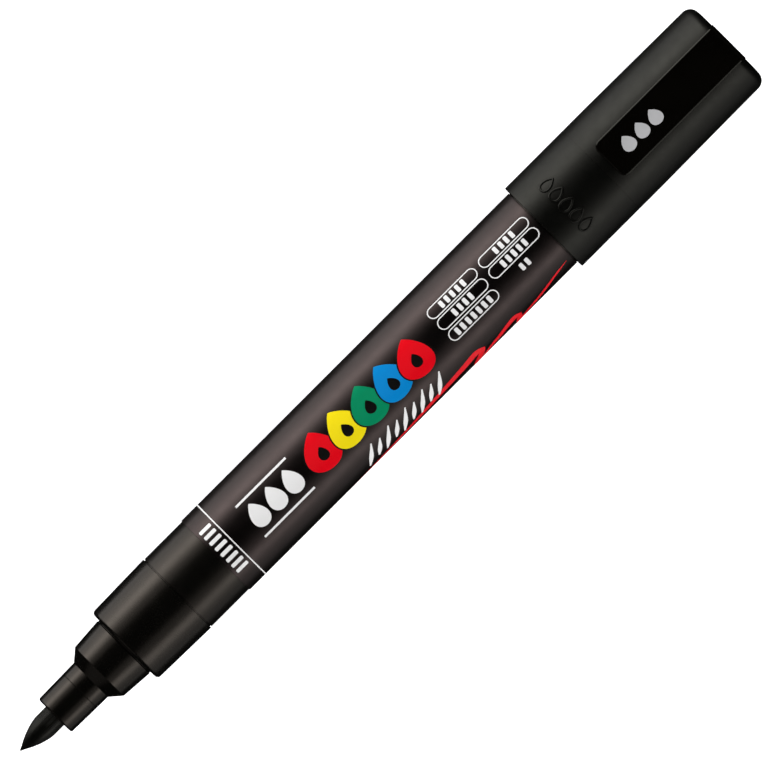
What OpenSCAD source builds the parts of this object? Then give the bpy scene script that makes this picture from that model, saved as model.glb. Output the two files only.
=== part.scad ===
// Brush marker with its cap posted on the rear end, lying on its back.
// The pen's axis runs along X: the brush points to -X, the crown of the cap to +X,
// and the pocket clip faces +Z. The origin is under the middle of the pen, at the
// lowest line of the cap. Every module works along its own Z, from the brush's point
// (z = 0) towards the crown, with the clip on +X, and lay_down() puts it in place.

/* [Barrel] */
// Outside diameter of the bare barrel
barrel_d = 13.68; // [13:0.02:18]
// Length of the barrel from the seam with the front section to its rear end
barrel_len = 88; // [70:0.5:130]
// Wall of the barrel round the paint chamber
barrel_wall = 0.96; // [0.7:0.01:1.4]
// Wall of the neck that plugs into the front section
neck_wall = 0.83; // [0.6:0.01:1.1]
// Bare stretch between the seam and the label film
bare_len = 7.8; // [5:0.1:15]
// Thickness of the printed label film
film_t = 0.15; // [0.1:0.01:0.3]
// Number of low ribs that grip the posted cap
rib_count = 6; // [3:1:12]
// Width of one grip rib
rib_w = 1.4; // [0.8:0.1:2]
// Length of the grip ribs
rib_len = 9; // [4:0.5:12]
// How deep the rear plug's spigot reaches into the barrel
plug_len = 5; // [3:0.5:10]
// Thickness of the rear plug's end disc
plug_disc_t = 1.2; // [0.8:0.1:2]
// Wall of the rear plug's spigot
plug_wall = 1; // [0.7:0.1:2]

/* [Front section] */
// Length of the front section
front_len = 10.65; // [9.8:0.05:16]
// How much the front section narrows towards its front, on the radius
front_draft = 0.23; // [0:0.01:0.3]
// How far the front section stands over the bare barrel, on the radius
front_step = 0.08; // [0:0.01:0.1]
// Wall of the front section, measured from the bare barrel's surface
front_wall = 0.84; // [0.7:0.01:1.2]
// Radial width of the lip that keeps the tip unit in
lip_w = 0.55; // [0.4:0.05:0.8]
// Length of that lip
lip_t = 1.25; // [0.8:0.05:2]
// Rounding of the front section's leading edge
front_round = 0.6; // [0.2:0.05:0.8]
// Small chamfer on both sides of the seam
seam_chamfer = 0.12; // [0.05:0.01:0.3]

/* [Tip unit] */
// Diameter of the bundle of brush filaments
brush_d = 3.74; // [3:0.02:4.6]
// Length of brush outside the sleeve
brush_out = 7.1; // [5:0.1:10]
// Length of the brush's tapered point
brush_taper = 5.2; // [3:0.1:7]
// Fullness of the taper: 1 is a cone, higher is rounder
brush_fullness = 1.7; // [1.2:0.05:2]
// Length of brush held inside the sleeve
brush_in = 11; // [8:0.5:11.5]
// Wall of the ferrule round the brush's root
ferrule_wall = 0.58; // [0.4:0.02:0.8]
// Length of the ferrule
ferrule_len = 8; // [5:0.5:8.5]
// Distance from the sleeve's mouth to the ferrule
mouth_len = 2.1; // [1.2:0.1:2.4]
// Wall of the slim sleeve at its mouth
sleeve_wall = 0.87; // [0.6:0.01:1]
// Length of the slim sleeve
sleeve_len = 7.3; // [5:0.1:9]
// How much the slim sleeve widens towards its root, on the radius
sleeve_draft = 0.12; // [0:0.01:0.2]
// Rounding of the sleeve's mouth
mouth_round = 0.35; // [0.1:0.05:0.5]
// Length of the cone between the slim sleeve and the collar
cone_len = 1.75; // [1:0.05:3]
// Length of collar in front of the front section
collar_len = 5.15; // [3.5:0.05:7]
// How much the collar narrows towards the cone, on the radius
collar_draft = 0.33; // [0:0.01:0.4]
// Thickness of the stop flange behind the collar
flange_t = 1.2; // [0.8:0.1:1.6]
// Wall of the tail tube
tail_wall = 0.6; // [0.5:0.05:0.7]
// Thickness of the moulded walls round the core of the collar
core_wall = 0.7; // [0.5:0.05:1]
// Length of the perforated plug in the tail
feed_plug_len = 1.4; // [1:0.1:2]
// Number of holes in the perforated plug
feed_holes = 4; // [3:1:6]
// Radius of each hole in the perforated plug
feed_hole_r = 0.35; // [0.2:0.05:0.4]
// Thickness of the tail's sliding seal
seal_t = 0.9; // [0.7:0.05:1]

/* [Valve] */
// How far the tip unit slides back when it is pumped
pump_travel = 2; // [1:0.1:2.4]
// Thickness of the valve body's flange
valve_flange_t = 0.9; // [0.6:0.1:1.2]
// Thickness of the gasket between the valve body and the barrel's neck
gasket_t = 0.5; // [0.3:0.1:0.8]
// Thickness of the wall that carries the valve seat
seat_wall_t = 1.2; // [0.8:0.1:2]
// Wall of the spring cage
cage_wall = 0.9; // [0.7:0.05:1.2]
// Length of the spring cage behind the seat wall
cage_len = 14; // [12:0.5:20]
// Width of each paint window in the cage
window_w = 3; // [1.5:0.1:3.5]
// Outside radius of the rubber valve seat
seat_r = 3.1; // [2.8:0.1:3.5]
// Thickness of the rubber valve seat
seat_t = 0.8; // [0.5:0.1:1.2]
// Radius of the valve rod's stem
stem_r = 1.1; // [0.8:0.05:1.2]
// Radius of the valve rod's head
head_r = 2.65; // [2.4:0.05:2.8]
// Thickness of the valve rod's head
head_t = 1.15; // [0.8:0.05:1.6]
// Length of the pin that guides the spring
guide_len = 3.8; // [2:0.1:5]
// Mean radius of the spring's coil
spring_r = 2.05; // [1.9:0.05:2.3]
// Radius of the spring's wire
wire_r = 0.24; // [0.15:0.01:0.3]
// Number of turns of the spring
spring_turns = 8; // [5:1:10]
// Thickness of the perforated disc that holds the spring
retainer_t = 1.2; // [0.8:0.1:2]
// Diameter of the steel mixing ball
ball_d = 6; // [4:0.5:8]

/* [Cap] */
// Length of the cap
cap_len = 37.6; // [36.5:0.1:46]
// Length of barrel inside the posted cap
post_depth = 13.5; // [12.5:0.1:16]
// Wall of the cap at its mouth
cap_wall = 0.835; // [0.7:0.005:1.2]
// How much the cap narrows towards its crown, on the radius
cap_draft = 0.155; // [0:0.005:0.3]
// Length of the cap that has no draft
cap_straight = 16.5; // [15:0.5:28]
// Width of the step that stops the barrel
step_w = 0.55; // [0.4:0.05:0.8]
// Thickness of the crown
crown_t = 1.2; // [0.8:0.1:2]
// Rounding of the crown's edge
crown_round = 1.6; // [0.5:0.1:2.4]
// Wall of the sealing liner inside the cap
liner_wall = 0.6; // [0.4:0.05:0.8]
// Width of the clip
clip_w = 6.75; // [4:0.05:8]
// Length of the clip, root and tongue together
clip_len = 24.6; // [18:0.1:30]
// Thickness of the clip
clip_t = 1.2; // [0.8:0.1:1.8]
// Gap between the clip and the cap for a pocket's cloth
clip_gap = 0.6; // [0.4:0.1:1.5]
// Length of the clip's root on the crown
root_len = 5.2; // [3:0.1:7]
// How deep the clip's root is set into the cap
root_depth = 0.83; // [0.3:0.01:1]
// How far the clip's end stands past the crown
clip_proud = 0.07; // [0:0.01:0.3]
// Rounding of the clip's corners in plan
clip_round = 1.15; // [0.2:0.05:1.5]
// Rounding of the clip's end at the crown, seen from the side
root_round = 1.1; // [0.4:0.1:1.6]
// Radius of the bead under the clip's free end
bead_r = 0.5; // [0.3:0.05:0.6]

/* [Hidden] */
// Clearances: pressed together, bonded, running, sealing, and end gaps
press_gap = 0.02;
bond_gap = 0.01;
run_gap = 0.05;
flange_gap = 0.1;
mouth_gap = 0.08;
collar_gap = 0.15;
stop_gap = 0.05;
travel_gap = 0.15;
push_gap = 0.1;
seal_gap = 0.04;
stem_gap = 0.6;
film_gap = 0.1;
tail_gap = 0.75;
ball_gap = 0.05;
bead_gap = 0.1;
clip_split = 0.03;
over = 1;
smooth = 96;

// Radii, from the barrel inwards and outwards
barrel_r = barrel_d / 2;
chamber_r = barrel_r - barrel_wall;
front_bore_r = barrel_r - front_wall;
neck_r = front_bore_r - press_gap;
neck_bore_r = neck_r - neck_wall;
film_r = barrel_r + film_t + bond_gap;
front_rear_r = barrel_r + front_step;
front_lead_r = front_rear_r - front_draft;
lip_r = front_bore_r - lip_w;
collar_r = lip_r - collar_gap;
collar_lead_r = collar_r - collar_draft;
flange_r = front_bore_r - flange_gap;
brush_r = brush_d / 2;
ferrule_bore_r = brush_r + bond_gap;
ferrule_r = ferrule_bore_r + ferrule_wall;
sleeve_bore_r = ferrule_r + press_gap;
sleeve_r = sleeve_bore_r + sleeve_wall;
tail_r = sleeve_bore_r + tail_wall;
valve_r = neck_bore_r - press_gap;
seal_bore_r = tail_r + tail_gap;
groove_r = seal_bore_r - run_gap - seal_t - bond_gap;
cage_bore_r = valve_r - cage_wall;
stem_hole_r = stem_r + stem_gap;
guide_r = spring_r - wire_r - 2 * run_gap;
ball_r = ball_d / 2;
cap_bore_r = film_r + run_gap;
cap_r = cap_bore_r + cap_wall;
crown_r = cap_r - cap_draft;
cap_inner_r = cap_bore_r - step_w;
liner_bore_r = collar_r + seal_gap;
liner_r = liner_bore_r + liner_wall;

// Stations along the axis, from the brush's point to the crown
z_mouth = brush_out;
z_cone = z_mouth + sleeve_len;
z_collar = z_cone + cone_len;
z_front = z_collar + collar_len;
z_flange = z_front + lip_t + stop_gap;
z_flange_end = z_flange + flange_t;
z_valve = z_flange_end + pump_travel + travel_gap;
z_gasket = z_valve + valve_flange_t;
z_neck = z_gasket + gasket_t;
z_seam = z_front + front_len;
z_tail = z_valve + 2 * travel_gap + pump_travel + run_gap;
z_seat_wall = z_tail + pump_travel + 2 * travel_gap;
z_seat = z_seat_wall + seat_wall_t;
z_head = z_seat + seat_t + stop_gap;
z_cage_end = z_seat + cage_len;
z_retainer = z_cage_end - retainer_t;
z_film = z_seam + bare_len;
z_rear = z_seam + barrel_len;
z_plug = z_rear - plug_disc_t;
z_cap = z_rear - post_depth;
z_step = z_rear + stop_gap;
z_liner = z_step + 2 * travel_gap;
z_crown = z_cap + cap_len;
z_end = z_crown + clip_proud;
z_clip = z_end - clip_len;
z_hinge = z_end - root_len;
z_seal = (z_valve + z_tail) / 2;
z_ball = z_cage_end + ball_r + travel_gap;

// The clip's inner and outer faces, measured from the pen's axis
clip_in = cap_r + clip_gap;
clip_out = clip_in + clip_t;
root_floor = crown_r - root_depth;

// Lays a module's shape on its back: its Z becomes +X and its X becomes +Z
module lay_down() {
    translate([-z_end / 2, 0, cap_r]) rotate(a = 180, v = [1, 0, 1]) children();
}

// A solid turned about the pen's axis, from a profile of radius and station
module turned() {
    rotate_extrude($fn = smooth) children();
}

// A ring from z0 to z1 in a turned profile
module band(r0, r1, z0, z1) {
    translate([r0, z0]) square([r1 - r0, z1 - z0]);
}

// What is taken off a profile to round its outer edge at radius r, station z
module edge_round(r, z, f, facing) {
    difference() {
        translate([r - f, facing > 0 ? z - f : z - over]) square([f + over, f + over]);
        translate([r - f, z - facing * f]) circle(r = f, $fn = smooth);
    }
}

// A ring of like shapes about the pen's axis
module around(count) {
    for (i = [0 : count - 1]) rotate([0, 0, i * 360 / count]) children();
}

// ---- Tip unit: slides back into the front section to pump the paint

brush_steps = 14;
function brush_radius(z) = brush_r * (1 - pow(1 - z / brush_taper, brush_fullness));
brush_profile = [for (i = [0 : brush_steps]) let (z = brush_taper * pow(i / brush_steps, 1.4))
    [brush_radius(z), z]];

module brush_nib() {
    color([0.045, 0.045, 0.04]) lay_down() turned()
        polygon(concat(brush_profile, [[brush_r, z_mouth + brush_in], [0, z_mouth + brush_in]]));
}

module brush_ferrule() {
    color([0.75, 0.75, 0.73]) lay_down() turned()
        band(ferrule_bore_r, ferrule_r, z_mouth + mouth_len, z_mouth + mouth_len + ferrule_len);
}

module feed_wick() {
    color([0.85, 0.83, 0.78]) lay_down() turned()
        band(0, ferrule_r - run_gap, z_mouth + brush_in + run_gap, z_tail - feed_plug_len - run_gap);
}

module feed_plug() {
    color([0.8, 0.8, 0.78]) lay_down() difference() {
        turned() band(0, ferrule_r, z_tail - feed_plug_len, z_tail);
        around(feed_holes) translate([ferrule_r - 2.5 * feed_hole_r, 0, z_tail - feed_plug_len - over])
            cylinder(r = feed_hole_r, h = feed_plug_len + 2 * over, $fn = 24);
    }
}

module sleeve_outline() {
    difference() {
        polygon([
            [0, z_mouth], [sleeve_r, z_mouth], [sleeve_r + sleeve_draft, z_cone],
            [collar_lead_r, z_collar], [collar_r, z_front], [collar_r, z_flange],
            [flange_r, z_flange], [flange_r, z_flange_end], [tail_r, z_flange_end],
            [tail_r, z_tail], [0, z_tail]
        ]);
        edge_round(sleeve_r, z_mouth, mouth_round, -1);
    }
}

module tip_sleeve() {
    color([0.05, 0.05, 0.045]) lay_down() turned() difference() {
        sleeve_outline();
        band(0, brush_r + mouth_gap, z_mouth - over, z_mouth + mouth_len);
        band(0, sleeve_bore_r, z_mouth + mouth_len, z_tail + over);
        band(tail_r, collar_lead_r - core_wall, z_collar + core_wall, z_flange_end + over);
        band(groove_r, tail_r + over, z_seal - seal_t / 2 - run_gap, z_seal + seal_t / 2 + run_gap);
    }
}

module tail_seal() {
    color([0.12, 0.12, 0.12]) lay_down() turned()
        translate([seal_bore_r - run_gap - seal_t / 2, z_seal]) circle(r = seal_t / 2, $fn = smooth);
}

// ---- Front section and valve

module front_section() {
    color([0.05, 0.05, 0.045]) lay_down() turned() difference() {
        polygon([
            [lip_r, z_front], [front_lead_r, z_front], [front_rear_r, z_seam - seam_chamfer],
            [front_rear_r - seam_chamfer, z_seam], [lip_r, z_seam]
        ]);
        edge_round(front_lead_r, z_front, front_round, -1);
        band(0, front_bore_r, z_front + lip_t, z_seam + over);
    }
}

module neck_gasket() {
    color([0.15, 0.15, 0.15]) lay_down() turned()
        band(valve_r + run_gap, front_bore_r - run_gap, z_gasket, z_neck);
}

module valve_body() {
    color([0.86, 0.86, 0.84]) lay_down() difference() {
        turned() difference() {
            union() {
                band(0, front_bore_r - run_gap, z_valve, z_gasket);
                band(0, valve_r, z_valve, z_cage_end);
            }
            band(0, seal_bore_r, z_valve - over, z_seat_wall);
            band(0, stem_hole_r, z_seat_wall - over, z_seat + over);
            band(0, cage_bore_r, z_seat, z_cage_end + over);
        }
        for (turn = [0, 90]) rotate([0, 0, turn])
            translate([-valve_r - over, -window_w / 2, z_seat + 2.5 * seat_t])
                cube([2 * (valve_r + over), window_w, cage_len - 3.5 * seat_t - 2 * retainer_t]);
    }
}

module valve_seat() {
    color([0.2, 0.2, 0.2]) lay_down() turned() band(stem_hole_r, seat_r, z_seat, z_seat + seat_t);
}

module valve_rod() {
    color([0.88, 0.88, 0.86]) lay_down() turned() {
        band(0, stem_r, z_tail + push_gap, z_head);
        band(0, head_r, z_head, z_head + head_t);
        band(0, guide_r, z_head + head_t, z_head + head_t + guide_len);
    }
}

module spring_retainer() {
    color([0.86, 0.86, 0.84]) lay_down() difference() {
        turned() band(0, cage_bore_r - press_gap, z_retainer, z_cage_end);
        around(feed_holes) translate([spring_r + 1.5 * feed_hole_r + wire_r, 0, z_retainer - over])
            cylinder(r = feed_hole_r * 2, h = retainer_t + 2 * over, $fn = 24);
    }
}

// A helix whose first and last turns lie flat, as on a ground compression spring
ring_sides = 8;
rings_per_turn = 16;
spring_rings = spring_turns * rings_per_turn;
spring_z0 = z_head + head_t + wire_r + press_gap;
spring_z1 = z_retainer - wire_r - press_gap;
flat_turns = 0.9;
function spring_rise(turn) = min(1, max(0, (turn - flat_turns) / (spring_turns - 2 * flat_turns)));
function ends_apart(turn) = 2 * wire_r * (min(turn, flat_turns) + max(0, turn - spring_turns + flat_turns));
spring_free = spring_z1 - spring_z0 - ends_apart(spring_turns);
function spring_z(turn) = spring_z0 + ends_apart(turn) + spring_free * spring_rise(turn);
function spring_point(i, s) = let (
        turn = i / rings_per_turn,
        a = 360 * turn,
        b = 360 * s / ring_sides,
        r = spring_r + wire_r * cos(b)
    ) [r * cos(a), r * sin(a), spring_z(turn) + wire_r * sin(b)];

module valve_spring() {
    points = [for (i = [0 : spring_rings], s = [0 : ring_sides - 1]) spring_point(i, s)];
    last = spring_rings * ring_sides;
    sides = [for (i = [0 : spring_rings - 1], s = [0 : ring_sides - 1]) let (
            t = (s + 1) % ring_sides,
            at = i * ring_sides
        ) [at + s, at + t, at + ring_sides + t, at + ring_sides + s]];
    start_cap = [for (s = [ring_sides - 1 : -1 : 0]) s];
    end_cap = [for (s = [0 : ring_sides - 1]) last + s];
    color([0.7, 0.7, 0.72]) lay_down()
        polyhedron(points = points, faces = concat(sides, [start_cap, end_cap]), convexity = 10);
}

// ---- Barrel

module barrel() {
    color([0.06, 0.06, 0.055]) lay_down() {
        turned() difference() {
            union() {
                band(0, neck_r, z_neck, z_seam + over);
                polygon([
                    [0, z_seam], [barrel_r - seam_chamfer, z_seam],
                    [barrel_r, z_seam + seam_chamfer], [barrel_r, z_plug], [0, z_plug]
                ]);
            }
            band(0, neck_bore_r, z_neck - over, z_seam + over);
            band(0, chamber_r, z_seam + barrel_wall, z_plug + over);
        }
        grip_ribs();
    }
}

// Low ribs that hold the posted cap, trimmed to a true cylinder
module grip_ribs() {
    intersection() {
        turned() band(barrel_r - barrel_wall / 2, film_r, z_plug - rib_len, z_plug - stop_gap);
        around(rib_count) translate([0, -rib_w / 2, z_plug - rib_len - over])
            cube([film_r + over, rib_w, rib_len + 2 * over]);
    }
}

module label_film() {
    color([0.075, 0.06, 0.06]) lay_down() turned()
        band(barrel_r + bond_gap, film_r, z_film, z_cap - film_gap);
}

module rear_plug() {
    color([0.05, 0.05, 0.045]) lay_down() turned() difference() {
        union() {
            band(0, barrel_r - seam_chamfer, z_plug, z_rear);
            band(0, chamber_r - press_gap, z_plug - plug_len, z_plug);
        }
        band(0, chamber_r - press_gap - plug_wall, z_plug - plug_len - over, z_plug);
    }
}

module mixing_ball() {
    color([0.78, 0.78, 0.8]) lay_down() translate([ball_r + ball_gap - chamber_r, 0, z_ball])
        sphere(r = ball_r, $fn = smooth);
}

// ---- Cap: shell, sealing liner and clip

module cap_shell() {
    color([0.07, 0.07, 0.06]) lay_down() difference() {
        turned() difference() {
            polygon([
                [0, z_cap], [cap_r, z_cap], [cap_r, z_cap + cap_straight],
                [crown_r, z_crown - crown_round], [crown_r, z_crown], [0, z_crown]
            ]);
            edge_round(crown_r, z_crown, crown_round, 1);
            band(0, cap_bore_r, z_cap - over, z_step);
            band(0, cap_inner_r, z_step - over, z_crown - crown_t);
        }
        translate([root_floor, -clip_w / 2 - press_gap, z_hinge])
            cube([cap_r, clip_w + 2 * press_gap, root_len + over]);
    }
}

module inner_cap() {
    color([0.8, 0.8, 0.78]) lay_down() turned() difference() {
        union() {
            band(0, liner_r, z_liner, z_crown - crown_t);
            band(0, cap_inner_r - press_gap, z_crown - crown_t - 2 * liner_wall, z_crown - crown_t);
        }
        band(0, liner_bore_r, z_liner - over, z_crown - crown_t - liner_wall);
    }
}

// The root stands on the flat cut into the cap and ends at the crown
module clip_root() {
    color([0.02, 0.02, 0.02]) lay_down() rotate([90, 0, 0])
        linear_extrude(height = clip_w, center = true) difference() {
            translate([root_floor, z_hinge]) square([clip_out - root_floor, root_len]);
            edge_round(clip_out, z_end, root_round, 1);
        }
}

// The tongue springs off the cap about the root, with a bead under its free end
module clip_tongue() {
    tongue_len = clip_len - root_len - clip_split;
    color([0.02, 0.02, 0.02]) lay_down() {
        translate([clip_in, 0, z_clip]) rotate([90, 0, 90]) linear_extrude(height = clip_t) {
            translate([-clip_w / 2, clip_round]) square([clip_w, tongue_len - clip_round]);
            translate([clip_round - clip_w / 2, 0]) square([clip_w - 2 * clip_round, 2 * clip_round]);
            for (side = [-1, 1]) translate([side * (clip_w / 2 - clip_round), clip_round])
                circle(r = clip_round, $fn = smooth);
        }
        translate([clip_in, 0, z_clip + 2 * clip_round]) rotate([90, 0, 0])
            cylinder(r = min(bead_r, clip_gap - bead_gap), h = clip_w - 2 * clip_round,
                center = true, $fn = 48);
    }
}

brush_nib();
brush_ferrule();
feed_wick();
feed_plug();
tip_sleeve();
tail_seal();
front_section();
neck_gasket();
barrel();
label_film();
rear_plug();
valve_body();
valve_seat();
valve_rod();
valve_spring();
spring_retainer();
mixing_ball();
cap_shell();
inner_cap();
clip_root();
clip_tongue();
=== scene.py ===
"""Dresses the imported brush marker: turned plastic, printed film, clip, brush and studio."""

import math
import random

import bmesh
import bpy
from bpy.props import FloatProperty, FloatVectorProperty, IntProperty, PointerProperty
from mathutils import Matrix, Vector
from mathutils.geometry import tessellate_polygon


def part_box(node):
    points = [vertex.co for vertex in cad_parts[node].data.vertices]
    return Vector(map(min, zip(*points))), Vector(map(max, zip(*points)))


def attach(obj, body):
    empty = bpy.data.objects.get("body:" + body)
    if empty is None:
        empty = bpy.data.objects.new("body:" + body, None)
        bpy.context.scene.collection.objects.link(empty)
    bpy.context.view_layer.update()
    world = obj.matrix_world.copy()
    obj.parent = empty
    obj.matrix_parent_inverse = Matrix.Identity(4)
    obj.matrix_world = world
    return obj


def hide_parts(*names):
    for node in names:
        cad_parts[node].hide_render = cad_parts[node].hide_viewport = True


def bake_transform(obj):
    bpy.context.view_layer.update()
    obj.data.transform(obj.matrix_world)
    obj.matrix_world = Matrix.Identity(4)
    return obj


bl_info = {
    "name": "Brush Marker",
    "version": (1, 0, 0),
    "blender": (4, 5, 0),
    "location": "3D View > Sidebar > Marker",
    "description": "Builds a brush marker with a posted cap around its packed frame",
    "category": "Object",
}

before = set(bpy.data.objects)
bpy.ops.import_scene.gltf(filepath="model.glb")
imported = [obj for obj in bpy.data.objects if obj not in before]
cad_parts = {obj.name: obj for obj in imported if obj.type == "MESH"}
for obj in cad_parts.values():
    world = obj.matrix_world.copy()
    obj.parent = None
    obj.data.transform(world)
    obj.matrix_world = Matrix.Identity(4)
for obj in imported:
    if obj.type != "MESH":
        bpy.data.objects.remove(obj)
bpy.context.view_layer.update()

MM = 0.001
# Steps round a turned piece
FINE = 160
# How far printed ink reaches down into the film
INK_ROOT = 0.01 * MM
# Width of the camera's sensor in millimetres
SENSOR = 36


# ---- Where the frame says things are

def low(node):
    """The lowest corner of a CAD node."""
    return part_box(node)[0]


def high(node):
    """The highest corner of a CAD node."""
    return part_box(node)[1]


def half_width(node):
    """The outer radius of a turned CAD node."""
    return (high(node).y - low(node).y) / 2


AXIS_HEIGHT = (low("label_film").z + high("label_film").z) / 2
BRUSH_POINT = low("brush_nib").x
MOUTH = low("tip_sleeve").x
TAIL = high("tip_sleeve").x
FRONT = low("front_section").x
SEAM = high("front_section").x
NECK = low("barrel").x
FILM_START = low("label_film").x
FILM_END = high("label_film").x
CAP_MOUTH = low("cap_shell").x
CROWN = high("cap_shell").x
REAR = high("rear_plug").x
CLIP_TIP = low("clip_tongue").x
CLIP_END = high("clip_root").x
HINGE = low("clip_root").x
FILM_RADIUS = half_width("label_film")
CAP_RADIUS = half_width("cap_shell")
FRONT_RADIUS = half_width("front_section")
BRUSH_RADIUS = half_width("brush_nib")
CLIP_OUT = high("clip_tongue").z - AXIS_HEIGHT
CLIP_WIDTH = high("clip_tongue").y - low("clip_tongue").y


def along(mm):
    """The row's X of a station given in millimetres from the brush's point."""
    return BRUSH_POINT + mm * MM


def on_pen(x, radius, turn):
    """A point at that station and radius; turn runs from the clip's side down towards -Y."""
    return Vector((x, -radius * math.sin(turn), AXIS_HEIGHT + radius * math.cos(turn)))


# ---- Settings

def length(name, description, default, low_end=0.0, high_end=0.2):
    """A size in metres."""
    return FloatProperty(name=name, description=description, default=default, min=low_end,
                         max=high_end, precision=5, subtype="DISTANCE", unit="LENGTH")


def share(name, description, default, high_end=1.0):
    """A plain number from nought up."""
    return FloatProperty(name=name, description=description, default=default, min=0.0,
                         max=high_end, subtype="FACTOR")


def colour(name, description, default):
    """A colour in linear light."""
    return FloatVectorProperty(name=name, description=description, default=default, size=3,
                               min=0.0, max=1.0, subtype="COLOR")


class MarkerTipSettings(bpy.types.PropertyGroup):
    """Sizes of the brush and the tip unit."""
    brush_taper: length("Brush taper", "Length of the brush's tapered point", 5.2 * MM)
    brush_fullness: share("Brush fullness", "1 is a cone, higher is rounder", 1.7, 3.0)
    point_round: length("Point rounding", "Rounding at the very point of the brush", 0.08 * MM)
    filament_width: length("Filament width", "Thickness of one bristle", 0.085 * MM)
    filament_count: IntProperty(name="Filaments", description="Loose bristles round the brush",
                                default=64, min=12, max=400)
    flute_count: IntProperty(name="Flutes", description="Rows of bristles that show round the brush",
                             default=96, min=12, max=400)
    sleeve_radius: length("Sleeve radius", "Outer radius at the sleeve's mouth", 3.35 * MM)
    sleeve_draft: length("Sleeve draft", "How much the sleeve widens to its root", 0.12 * MM)
    sleeve_length: length("Sleeve length", "Length of the slim sleeve", 7.3 * MM)
    cone_length: length("Cone length", "Length of the cone behind the sleeve", 1.75 * MM)
    collar_front: length("Collar front radius", "Radius of the collar's front", 4.97 * MM)
    collar_rear: length("Collar rear radius", "Radius of the collar's rear", 5.3 * MM)
    mouth_round: length("Mouth rounding", "Rounding of the sleeve's mouth", 0.35 * MM)


class MarkerBarrelSettings(bpy.types.PropertyGroup):
    """Sizes of the barrel, front section and label film."""
    barrel_radius: length("Barrel radius", "Outer radius of the bare barrel", 6.84 * MM)
    barrel_wall: length("Barrel wall", "Wall round the paint chamber", 0.96 * MM)
    seam_chamfer: length("Seam chamfer", "Chamfer on both sides of the seam", 0.05 * MM)
    front_round: length("Front rounding", "Rounding of the front section's edge", 0.6 * MM)
    film_thickness: length("Film thickness", "Thickness of the label film", 0.15 * MM)


class MarkerPrintSettings(bpy.types.PropertyGroup):
    """Sizes of the printing on the film."""
    ink_thickness: length("Ink thickness", "How far one layer of ink stands up", 0.012 * MM)
    rule_width: length("Rule width", "Width of the two long rules", 0.36 * MM)
    pill_height: length("Pill height", "Height of each pill outline", 1.97 * MM)
    pill_line: length("Pill line", "Width of the pill's line", 0.17 * MM)
    dab_height: length("Dab height", "Height of the coloured dabs", 6.35 * MM)


class MarkerCapSettings(bpy.types.PropertyGroup):
    """Sizes of the cap and its clip."""
    crown_radius: length("Crown radius", "Radius of the cap at its crown", 7.73 * MM)
    crown_round: length("Crown rounding", "Rounding of the crown's edge", 1.6 * MM)
    cap_straight: length("Straight length", "Length of the cap without draft", 16.5 * MM)
    cap_bore: length("Cap bore", "Radius of the bore that grips the barrel", 7.05 * MM)
    cap_inner: length("Cap inner radius", "Radius of the bore past the step", 6.5 * MM)
    mark_width: length("Raised mark width", "Width of the raised line", 0.34 * MM)
    mark_height: length("Raised mark height", "Height of the raised line", 0.15 * MM)
    clip_thickness: length("Clip thickness", "Thickness of the clip", 1.2 * MM)
    rim_width: length("Rim width", "Width of the sloped rim round the clip's face", 0.205 * MM)
    rim_slope: share("Rim slope", "Fall of the clip's rim for each unit of its width", 0.55)
    foot_width: length("Foot width", "How far the clip's side leans out below the rim", 0.10 * MM)
    clip_corner: length("Clip corner", "Rounding of the free end's corners", 1.15 * MM)
    root_round: length("Root rounding", "Rounding over the crown end", 1.1 * MM)


class MarkerFinishSettings(bpy.types.PropertyGroup):
    """Colours of the plastics and inks."""
    satin_black: colour("Satin black", "Tip unit, front section and barrel", (0.0009, 0.0009, 0.0007))
    film_black: colour("Film black", "Printed label film", (0.0006, 0.0005, 0.0005))
    cap_black: colour("Cap black", "Cap shell", (0.0006, 0.0006, 0.0005))
    clip_black: colour("Clip black", "Polished clip", (0.0009, 0.0007, 0.0004))
    brush_black: colour("Brush black", "Bristles wet with paint", (0.0006, 0.0006, 0.0004))
    print_white: colour("White ink", "Rules, pills and marks", (0.87, 0.865, 0.86))
    print_red: colour("Red ink", "Red dabs and stroke", (0.80, 0.0, 0.008))
    print_blue: colour("Blue ink", "Blue dab", (0.0, 0.245, 0.64))
    print_green: colour("Green ink", "Green dab", (0.0, 0.24, 0.105))
    print_yellow: colour("Yellow ink", "Yellow dab", (0.97, 0.78, 0.006))


class MarkerStageSettings(bpy.types.PropertyGroup):
    """The studio."""
    floor_colour: colour("Floor", "Colour of the floor", (0.9, 0.9, 0.9))
    left_light: share("Left softbox", "Brightness of the softbox on the +Y side", 1.0, 10.0)
    right_light: share("Right softbox", "Brightness of the softbox on the -Y side", 1.0, 10.0)
    front_light: share("Front softbox", "Brightness of the softbox beyond the brush", 0.15, 10.0)
    rear_light: share("Rear softbox", "Brightness of the softbox beyond the crown", 0.02, 10.0)
    top_power: FloatProperty(name="Overhead light", description="Power of the soft overhead light",
                             default=19.0, min=0.0, subtype="POWER", unit="POWER")
    lens: FloatProperty(name="Lens", description="Focal length of the camera's lens in millimetres",
                        default=1400.0, min=100.0, max=1600.0)


class MarkerSettings(bpy.types.PropertyGroup):
    """Everything a user may change."""
    tip: PointerProperty(name="Tip", description="Brush and tip unit", type=MarkerTipSettings)
    barrel: PointerProperty(name="Barrel", description="Barrel and film", type=MarkerBarrelSettings)
    print: PointerProperty(name="Print", description="Printing", type=MarkerPrintSettings)
    cap: PointerProperty(name="Cap", description="Cap and clip", type=MarkerCapSettings)
    finish: PointerProperty(name="Finish", description="Colours", type=MarkerFinishSettings)
    stage: PointerProperty(name="Stage", description="Studio", type=MarkerStageSettings)


# ---- Materials

# The cast of each plastic's gloss
SATIN_TINT = (1.0, 0.87, 0.75)
FILM_TINT = (1.0, 0.77, 0.73)
CAP_TINT = (1.0, 0.98, 0.86)


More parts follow.
